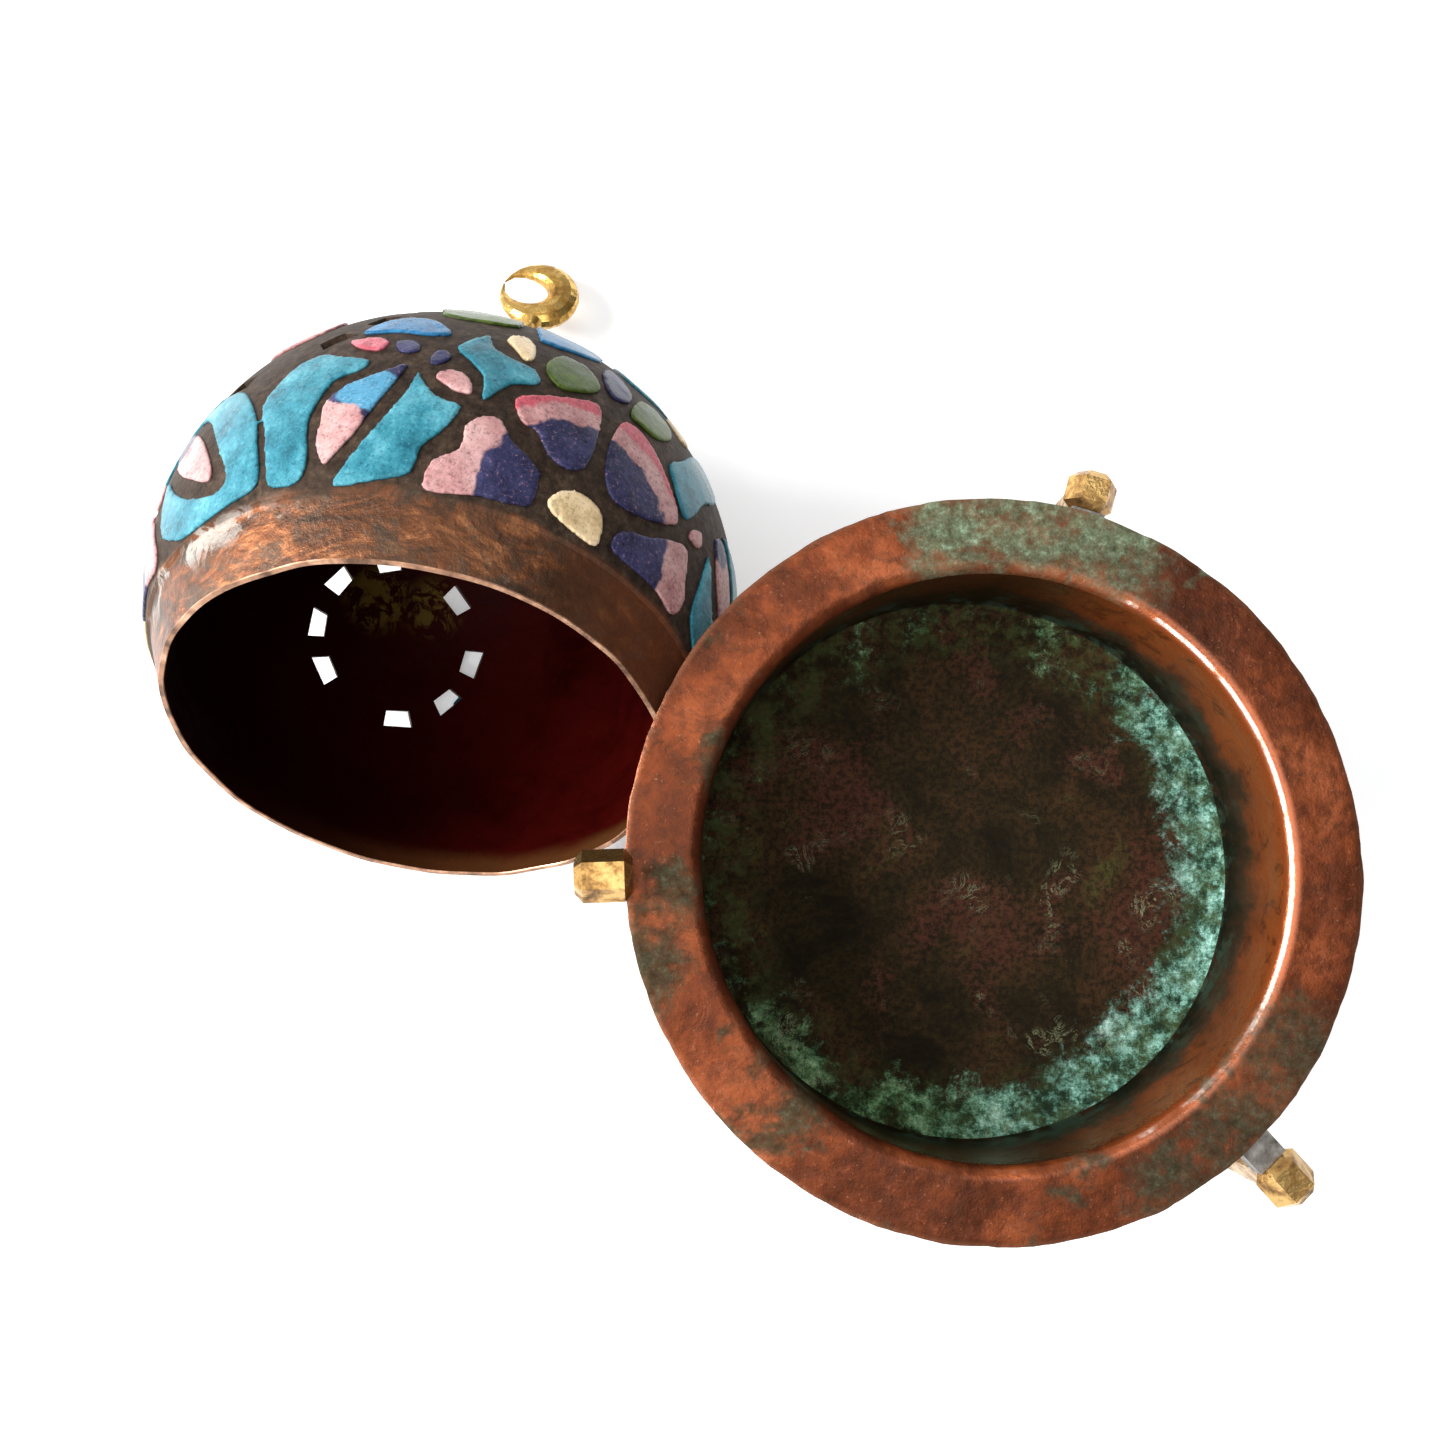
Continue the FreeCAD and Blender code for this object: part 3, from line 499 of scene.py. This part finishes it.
def spot(mat, place, ragged, azimuth, latitude, reach):
    """1 within reach of a point of the design, with a ragged edge."""
    away = mat.plus(mat.distance(on_dome(azimuth, latitude), place), ragged)
    return mat.range(away, (reach + 0.4) * MM, (reach - 0.4) * MM)


FLOWER = (30, -18)                       # azimuth and latitude of the flower's middle


def petal_colour(mat, cloud):
    """Cobalt at a flower's heart running into pink at its petals' tips."""
    place = mat.third()
    ragged = mat.times(mat.plus(mat.noise(160, 4, 0.6), -0.5), 5 * MM)
    blue = mat.ramp(cloud, (0.32, COBALT_DEEP), (0.52, COBALT), (0.72, COBALT_PALE))
    pink = mat.ramp(cloud, (0.32, PINK_DEEP), (0.46, PINK), (0.62, PINK_PALE))
    far = mat.range(mat.plus(mat.distance(on_dome(*FLOWER), place), ragged), 19.4 * MM, 20.4 * MM)
    high = mat.range(mat.axis("Z"), 24 * MM, 26 * MM)
    pink = mat.mix(mat.times(far, high), pink, ROSE)
    return mat.mix(spot(mat, place, ragged, *FLOWER, 16.6), pink, blue)


def leaf_colour(mat, cloud):
    """Pink leaf with a sky-blue spot and cobalt tip; pink eye with a cobalt corner."""
    place = mat.third()
    ragged = mat.times(mat.plus(mat.noise(200, 4, 0.6), -0.5), 5 * MM)
    blue = mat.ramp(cloud, (0.32, COBALT_DEEP), (0.52, COBALT), (0.72, COBALT_PALE))
    colour = mat.ramp(cloud, (0.32, PINK_DEEP), (0.46, PINK), (0.62, PINK_PALE))
    for azimuth, latitude, reach in ((-4, 3, 7.0), (-15, -3, 3.6), (-10, -8, 2.6), (-58, 4, 6.4)):
        colour = mat.mix(spot(mat, place, ragged, azimuth, latitude, reach), colour, blue)
    return mat.mix(spot(mat, place, ragged, -11.5, -3.5, 4.6), colour, SKY)


def brass(name, bright, worn, tarnish):
    """Cast brass: yellow, with patches of brown tarnish and small dents."""
    mat = Finish(name, metallic=0.92, gloss=0.3)
    patch = mat.noise(300, 6, 0.68, distortion=0.4)
    colour = mat.ramp(patch, (0.33, tarnish), (0.46, worn), (0.58, bright))
    mat.bump(mat.noise(420, 3, 0.5), 0.6 * MM, 0.4)
    mat.bump(mat.noise(2600, 3, 0.6), 0.08 * MM, 0.4)
    return mat.done(colour, mat.range(patch, 0.35, 0.62, 0.46, 0.20))


def tinned_bar():
    mat = Finish("tinned_bar", metallic=0.6, roughness=0.5)
    colour = mat.ramp(mat.noise(380, 5, 0.65), (0.32, (0.07, 0.06, 0.05)), (0.5, (0.20, 0.18, 0.16)),
                      (0.7, (0.36, 0.34, 0.31)))
    mat.bump(mat.noise(900, 4, 0.6), 0.2 * MM, 0.5)
    return mat.done(colour)


FINISHES = {
    "pan": pan_copper(), "wall": well_wall(), "floor": well_floor(),
    "outside": lid_outside(), "inside": lid_inside(), "rim": rim_metal(), "bar": tinned_bar(),
    "leg_brass": brass("leg_brass", (0.62, 0.39, 0.14), (0.40, 0.22, 0.07), (0.12, 0.065, 0.028)),
    "finial_brass": brass("finial_brass", (0.74, 0.47, 0.14), (0.52, 0.29, 0.070), (0.24, 0.12, 0.030)),
}
ENAMELS = {
    "enamel_turquoise": enamel("turquoise_enamel", (0.010, 0.095, 0.135), (0.038, 0.225, 0.29),
                               (0.13, 0.41, 0.49)),
    "enamel_light_blue": enamel("light_blue_enamel", (0.008, 0.09, 0.20), (0.025, 0.185, 0.38),
                                (0.07, 0.33, 0.55)),
    "enamel_green": enamel("green_enamel", (0.026, 0.046, 0.006), (0.062, 0.100, 0.014),
                           (0.12, 0.18, 0.030)),
    "enamel_cobalt": enamel("cobalt_enamel", COBALT_DEEP, COBALT, COBALT_PALE),
    "enamel_pink": enamel("pink_enamel", PINK_DEEP, PINK, PINK_PALE),
    "enamel_rose": enamel("rose_enamel", (0.38, 0.06, 0.085), (0.60, 0.15, 0.19), (0.68, 0.34, 0.35)),
    "enamel_ivory": enamel("ivory_enamel", (0.52, 0.36, 0.17), (0.86, 0.64, 0.37), (0.92, 0.80, 0.60)),
    "enamel_petals": enamel("petal_enamel", COBALT_DEEP, COBALT, PINK, colour=petal_colour),
    "enamel_leaves": enamel("leaf_enamel", COBALT_DEEP, PINK, PINK_PALE, colour=leaf_colour),
}


# ---------------------------------------------------------------- modelling helpers
def deselect():
    bpy.ops.object.select_all(action="DESELECT")


def settle(piece, place=None):
    """Put a piece's place into its mesh, so that its object sits at the origin."""
    if place is not None:
        piece.data.transform(place @ piece.matrix_world)
        piece.matrix_world = Matrix()
        return
    deselect()
    piece.select_set(True)
    bpy.context.view_layer.objects.active = piece
    bpy.ops.object.transform_apply(location=True, rotation=True, scale=True)


def modify(piece, kind, **settings):
    """Add a modifier and apply it."""
    modifier = piece.modifiers.new(kind.lower(), kind)
    for key, value in settings.items():
        setattr(modifier, key, value)
    bpy.context.view_layer.objects.active = piece
    bpy.ops.object.modifier_apply(modifier=modifier.name)


def raise_sheet(name, profile, segments):
    """A ring drawn out through (radius, height) points, one extrusion at a time."""
    radius, height = profile[0]
    deselect()
    bpy.ops.mesh.primitive_circle_add(vertices=segments, radius=radius, location=(0, 0, height))
    piece = bpy.context.object
    piece.name = name
    settle(piece)
    bpy.ops.object.mode_set(mode="EDIT")
    bpy.ops.mesh.select_all(action="SELECT")
    for after_radius, after_height in profile[1:]:
        bpy.ops.mesh.extrude_region_move(TRANSFORM_OT_translate={"value": (0, 0, after_height - height)})
        factor = after_radius / radius
        bpy.ops.transform.resize(value=(factor, factor, 1), center_override=(0, 0, after_height))
        radius, height = after_radius, after_height
    bpy.ops.object.mode_set(mode="OBJECT")
    return piece


def close_ends(piece, tolerance=0.02 * MM):
    """Merge the rings that meet, close what is open and turn the faces outwards."""
    bpy.context.view_layer.objects.active = piece
    bpy.ops.object.mode_set(mode="EDIT")
    bpy.ops.mesh.select_all(action="SELECT")
    bpy.ops.mesh.remove_doubles(threshold=tolerance)
    bpy.ops.mesh.select_all(action="SELECT")
    bpy.ops.mesh.fill_holes(sides=0)
    bpy.ops.mesh.normals_make_consistent(inside=False)
    bpy.ops.object.mode_set(mode="OBJECT")


def smooth(piece, angle=40):
    deselect()
    piece.select_set(True)
    bpy.context.view_layer.objects.active = piece
    bpy.ops.object.shade_smooth_by_angle(angle=math.radians(angle))


def arc(centre, radius, start, end, steps):
    """Points of an arc in the (radius, height) plane, angles in degrees from the outward way."""
    points = []
    for step in range(steps + 1):
        angle = math.radians(start + (end - start) * step / steps)
        points.append((centre[0] + radius * math.cos(angle), centre[1] + radius * math.sin(angle)))
    return points


def run(start, end, steps):
    """Points along a straight stretch of a profile, its start left out."""
    across, up = end[0] - start[0], end[1] - start[1]
    return [(start[0] + across * step / steps, start[1] + up * step / steps)
            for step in range(1, steps + 1)]


def dress(piece, body, slot, *nodes):
    """Finish a new piece: it rides on its body and stands for these CAD nodes."""
    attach(piece, body)
    if nodes:
        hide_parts(*nodes)


def give(piece, *finishes):
    piece.data.materials.clear()
    for finish in finishes:
        piece.data.materials.append(finish)


# ---------------------------------------------------------------- pan
PAN_SEGMENTS = 256
FLOOR_HOLE = 1.0 * MM                    # left open in the middle until the sheet is closed
TRIM = 0.3 * MM                          # taken off the flange's radius to leave room for its wavy edge
EDGE_ROUND = 0.12 * MM


def pan_profile():
    """(radius, height) round the sheet, from the middle of the floor's top to that of its underside."""
    top, under = FLANGE_TOP, FLANGE_TOP - SHEET
    outside = WELL_RADIUS + SHEET
    inner_corner = arc((WELL_RADIUS - FLOOR_CORNER, FLOOR_CORNER), FLOOR_CORNER, -90, 0, 6)
    top_lip = arc((WELL_RADIUS + LIP, top - LIP), LIP, 180, 90, 8)
    under_lip = arc((outside + LIP - SHEET, under - LIP + SHEET), LIP - SHEET, 90, 180, 5)
    outer_corner = arc((WELL_RADIUS - FLOOR_CORNER, FLOOR_CORNER), FLOOR_CORNER + SHEET, 0, -90, 6)
    rim = FLANGE_RADIUS - TRIM
    edge_radius = rim + 0.2 * MM
    edge = [(rim, top), (edge_radius, top - EDGE_ROUND), (edge_radius, under + EDGE_ROUND), (rim, under)]
    start = (FLOOR_HOLE, 0.0)
    profile = [start, *run(start, inner_corner[0], 16), *inner_corner[1:]]
    profile += run(inner_corner[-1], top_lip[0], 10) + top_lip[1:]
    profile += run(top_lip[-1], edge[0], 9) + edge[1:] + run(edge[-1], under_lip[0], 9) + under_lip[1:]
    profile += run(under_lip[-1], outer_corner[0], 8) + outer_corner[1:]
    return profile + run(outer_corner[-1], (FLOOR_HOLE, -SHEET), 8)


def hammer(pan):
    """Waver the flange's edge, lift and dip the flange, and dent the wall and the floor."""
    for vertex in pan.data.vertices:
        place = vertex.co
        reach = math.hypot(place.x, place.y)
        if reach < FLOOR_HOLE:
            continue
        outward = max(0.0, (reach - WELL_RADIUS - LIP) / (FLANGE_RADIUS - WELL_RADIUS - LIP))
        around = Vector((place.x / reach, place.y / reach, 0))
        wobble = noise.noise(around * 9) * 0.25 + noise.noise(around * 26 + Vector((5, 0, 0))) * 0.16
        shift = (wobble - 0.22) * MM * outward ** 3
        place.x += around.x * shift
        place.y += around.y * shift
        dents = noise.noise(Vector((place.x, place.y, 0)) * 130) * 0.16
        dents += noise.noise(around * 3.5) * 0.35
        place.z += dents * MM * outward
        if outward == 0 and place.z > 1.5 * MM:
            fade = min(1.0, (FLANGE_TOP - place.z) / (6 * MM))
            bulge = noise.noise(place * 90) * 0.18 * MM * fade
            place.x += around.x * bulge
            place.y += around.y * bulge
        elif outward == 0:
            place.z += noise.noise(place * 70) * 0.12 * MM


def make_pan():
    """Raised copper pan with a hammered, slightly uneven flange."""
    pan = raise_sheet("pan_body", pan_profile(), PAN_SEGMENTS)
    close_ends(pan)
    hammer(pan)
    give(pan, FINISHES["pan"], FINISHES["wall"], FINISHES["floor"])
    lip_start = FLANGE_TOP - LIP * 0.9
    for face in pan.data.polygons:
        centre = face.center
        reach = math.hypot(centre.x, centre.y)
        if reach < WELL_RADIUS + 0.4 * MM and centre.z > -0.5 * MM:
            face.material_index = 2 if centre.z < 1.6 * MM else 1 if centre.z < lip_start else 0
    smooth(pan)
    dress(pan, "pan_stand", "pan_copper", "pan")


# ---------------------------------------------------------------- lid shell
LID_SEGMENTS = 224
SLOT_DEPTH = 16 * MM
SLOT_SEED = 7                            # noise_vector differs from run to run unless it is seeded
GROUND_END, BARE_START = -23.2, -23.9    # latitudes at which the ground stops and the collar begins


def make_slots():
    """Wedge-shaped cutters for the three rosettes, in the upright lid's frame."""
    noise.seed_set(SLOT_SEED)
    deselect()
    cutters = []
    for azimuth in ROSETTES:
        aim = Euler((0, math.radians(90 - ROSETTE_LATITUDE), math.radians(azimuth))).to_matrix().to_4x4()
        for angle, ring_radius in SLOTS.items():
            spin = Matrix.Rotation(math.radians(angle), 4, "Z")
            bpy.ops.mesh.primitive_cube_add(size=1, location=(0, 0, 0))
            cutter = bpy.context.object
            bpy.ops.object.mode_set(mode="EDIT")
            bpy.ops.mesh.select_all(action="SELECT")
            bpy.ops.transform.resize(value=(SLOT_WIDTH, SLOT_LENGTH, SLOT_DEPTH))
            bpy.ops.object.mode_set(mode="OBJECT")
            for vertex in cutter.data.vertices:
                vertex.co.y *= 1.08 if vertex.co.x > 0 else 0.82
                jitter = noise.noise_vector(Vector((angle * 0.7, vertex.co.x * 900, vertex.co.y * 900)))
                vertex.co.x += jitter.x * 0.35 * MM
                vertex.co.y += jitter.y * 0.45 * MM
            out = Matrix.Translation((ring_radius * MM, 0, DOME_RADIUS - 2 * MM))
            cutter.data.transform(Matrix.Translation((0, 0, DOME_CENTRE)) @ aim @ spin @ out)
            cutters.append(cutter)
    deselect()
    for cutter in cutters:
        cutter.select_set(True)
    bpy.context.view_layer.objects.active = cutters[0]
    bpy.ops.object.join()
    return cutters[0]


def collar_touch(mouth, radius):
    """Angle, in degrees, at which the straight collar touches the dome's arc."""
    span = math.hypot(mouth, DOME_CENTRE)
    return math.degrees(math.acos(radius / span) - math.atan2(DOME_CENTRE, mouth))


def lid_profile():
    """(radius, height) of the upright lid, down its outside, round the mouth's edge and up inside."""
    centre = (0.0, DOME_CENTRE)
    raised, hollow = DOME_RADIUS + GROUND, DOME_RADIUS - SHEET
    inside_mouth = MOUTH_RADIUS - SHEET
    edge_height, edge_round = 0.2 * MM, 0.1 * MM
    out_arc = arc(centre, raised, math.degrees(math.acos(CROWN_HOLE / raised)), GROUND_END, 60)
    out_arc += arc(centre, DOME_RADIUS, BARE_START, collar_touch(MOUTH_RADIUS, DOME_RADIUS), 2)
    in_arc = arc(centre, hollow, collar_touch(inside_mouth, hollow),
                 math.degrees(math.acos(CROWN_HOLE / hollow)), 60)
    inside_edge = (inside_mouth, edge_height)
    profile = out_arc + run(out_arc[-1], (MOUTH_RADIUS, edge_height), 10)
    profile += [(MOUTH_RADIUS - edge_round, 0.0), (inside_mouth + edge_round, 0.0), inside_edge]
    return profile + run(inside_edge, in_arc[0], 10) + in_arc[1:] + out_arc[:1]


def bend_mouth(lid):
    """Put the mouth a little out of round, fading up the collar."""
    for vertex in lid.data.vertices:
        place = vertex.co
        reach = math.hypot(place.x, place.y)
        near_mouth = max(0.0, 1 - place.z / COLLAR_HEIGHT)
        if reach < 1 * MM or near_mouth == 0:
            continue
        around = Vector((place.x / reach, place.y / reach, 0))
        shift = noise.noise(around * 4 + Vector((2, 7, 1))) * 0.5 * MM * near_mouth
        place.x += around.x * shift
        place.y += around.y * shift


def make_lid():
    """Copper dome: outside skin, turned mouth edge, inside skin, with the rosettes cut through."""
    lid = raise_sheet("lid_dome", lid_profile(), LID_SEGMENTS)
    close_ends(lid)
    cutter = make_slots()
    modify(lid, "BOOLEAN", object=cutter, operation="DIFFERENCE", solver="EXACT")
    bpy.data.objects.remove(cutter)
    bend_mouth(lid)
    give(lid, FINISHES["outside"], FINISHES["inside"], FINISHES["rim"])
    middle = Vector((0, 0, DOME_CENTRE))
    for face in lid.data.polygons:
        outward = face.center - middle
        slant = face.normal.dot(outward.normalized())
        within = outward.length < DOME_RADIUS - 0.5 * MM and face.center.z > COLLAR_HEIGHT
        if face.center.z < 0.15 * MM:
            face.material_index = 2
        elif slant < -0.3 or within:
            face.material_index = 1
    settle(lid, LID_PLACE)
    smooth(lid, 35)
    dress(lid, "lid", "lid_copper", "lid_shell")


# ---------------------------------------------------------------- enamel
PILLOW_VOXEL = 0.42 * MM
PILLOW_SHRINK = 0.13 * MM                # taken off first, so that neighbouring cells stay apart
PILLOW_SWELL = 0.12 * MM
CREASE_ANGLE = 80                        # edges sharper than this, in degrees, stay sharp


def make_enamel(node, finish):
    """Fired enamel: each flat cell swollen into a rounded pillow."""
    deselect()
    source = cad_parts[node]
    cells = source.copy()
    cells.data = source.data.copy()
    cells.name = node.replace("enamel_", "enamel_pillows_")
    bpy.context.scene.collection.objects.link(cells)
    cells.parent = None
    cells.matrix_world = Matrix()
    cells.select_set(True)
    bpy.context.view_layer.objects.active = cells
    bpy.ops.object.mode_set(mode="EDIT")
    bpy.ops.mesh.select_all(action="SELECT")
    bpy.ops.mesh.remove_doubles(threshold=0.005 * MM)
    bpy.ops.object.mode_set(mode="OBJECT")
    modify(cells, "DISPLACE", strength=-PILLOW_SHRINK, mid_level=0.0)
    modify(cells, "REMESH", mode="VOXEL", voxel_size=PILLOW_VOXEL)
    modify(cells, "SMOOTH", factor=0.5, iterations=4)
    centre = LID_PLACE @ Vector((0, 0, DOME_CENTRE))
    for vertex in cells.data.vertices:
        way = vertex.co - centre
        height = way.length - DOME_RADIUS
        lift = max(0.0, height) / ENAMEL
        lumps = noise.noise(vertex.co * 160) * 0.16 + noise.noise(vertex.co * 420) * 0.06
        reach = min(way.length + lift * (PILLOW_SWELL + lumps * MM), DOME_RADIUS + ENAMEL)
        vertex.co = centre + way.normalized() * reach
    give(cells, finish)
    smooth(cells, CREASE_ANGLE)
    dress(cells, "lid", node.replace("enamel_", "") + "_enamel", node)


# ---------------------------------------------------------------- hardware
def dress_hardware():
    """Give the knees, legs, arms and finial their looks. They keep their CAD shape."""
    for name in ("back", "left", "front"):
        give(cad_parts[f"knee_{name}"], FINISHES["leg_brass"])
        give(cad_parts[f"leg_{name}"], FINISHES["leg_brass"])
        give(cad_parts[f"arm_{name}"], FINISHES["bar"])
    for name in ("finial_stem", "finial_crescent"):
        give(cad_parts[name], FINISHES["finial_brass"])
    give(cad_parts["finial_washer"], FINISHES["rim"])


# ---------------------------------------------------------------- stage
TABLE_GAP = 0.3 * MM                     # between the feet and the rendered table
LIGHTS = {                               # place, size in metres and power in watts
    "window": ((-0.85, 0.10, 0.55), 0.40, 12.0),
    "ceiling": ((-0.1, 0.1, 1.1), 0.9, 5.0),
    "lamp": ((-0.42, -0.50, 0.50), 0.16, 1.6),
}
LIGHTS_AIM = Vector((-0.04, 0.02, 0))
ROOM_TINT = (0.96, 0.98, 1.0, 1)
ROOM_FADE = {"From Min": -0.7, "From Max": 0.8, "To Min": 0.95, "To Max": 0.10}
CAMERA_PLACE = (-57.1 * MM, -5.4 * MM, FLANGE_TOP + 238.2 * MM)
CAMERA_TILT = (6.61, -3.10, 0)           # degrees about X, Y and Z, from looking straight down
CAMERA_LENS = 37.37


def make_table():
    """Pale paper under the feet, glowing a little as overexposed paper does."""
    deselect()
    bpy.ops.mesh.primitive_plane_add(size=6, location=(0, 0, TABLE - TABLE_GAP))
    table = bpy.context.object
    table.name = "table"
    paper = Finish("pale_table", roughness=0.9)
    paper.shader.inputs["Emission Color"].default_value = (1, 1, 1, 1)
    paper.shader.inputs["Emission Strength"].default_value = 0.3
    tone = paper.ramp(paper.noise(3, 2), (0.4, (0.88, 0.88, 0.88)), (0.6, (0.91, 0.91, 0.91)))
    give(table, paper.done(tone))


def make_lights():
    """A window on the left, a ceiling light and a small lamp."""
    for name, (place, size, power) in LIGHTS.items():
        light = bpy.data.lights.new(name, "AREA")
        light.size = size
        light.energy = power
        lamp = bpy.data.objects.new(name, light)
        bpy.context.scene.collection.objects.link(lamp)
        lamp.location = place
        lamp.rotation_euler = (LIGHTS_AIM - Vector(place)).to_track_quat("-Z", "Y").to_euler()


def make_room():
    """Soft light all round, brighter towards the left."""
    world = bpy.data.worlds.new("room")
    world.use_nodes = True
    nodes, links = world.node_tree.nodes, world.node_tree.links
    way = nodes.new("ShaderNodeSeparateXYZ")
    links.new(nodes.new("ShaderNodeTexCoord").outputs["Generated"], way.inputs[0])
    room = nodes.new("ShaderNodeMapRange")
    links.new(way.outputs["X"], room.inputs["Value"])
    for name, number in ROOM_FADE.items():
        room.inputs[name].default_value = number
    links.new(room.outputs["Result"], nodes["Background"].inputs["Strength"])
    nodes["Background"].inputs["Color"].default_value = ROOM_TINT
    bpy.context.scene.world = world
    bpy.context.scene.view_settings.view_transform = "Standard"


def make_camera():
    """Held nearly straight above the gap between lid and pan."""
    data = bpy.data.cameras.new("camera")
    data.lens = CAMERA_LENS
    data.clip_start = 0.01
    camera = bpy.data.objects.new("camera", data)
    bpy.context.scene.collection.objects.link(camera)
    camera.location = CAMERA_PLACE
    camera.rotation_euler = [math.radians(angle) for angle in CAMERA_TILT]
    bpy.context.scene.camera = camera


make_camera()
make_table()
make_lights()
make_room()
make_pan()
make_lid()
for enamel_node, enamel_finish in ENAMELS.items():
    make_enamel(enamel_node, enamel_finish)
dress_hardware()
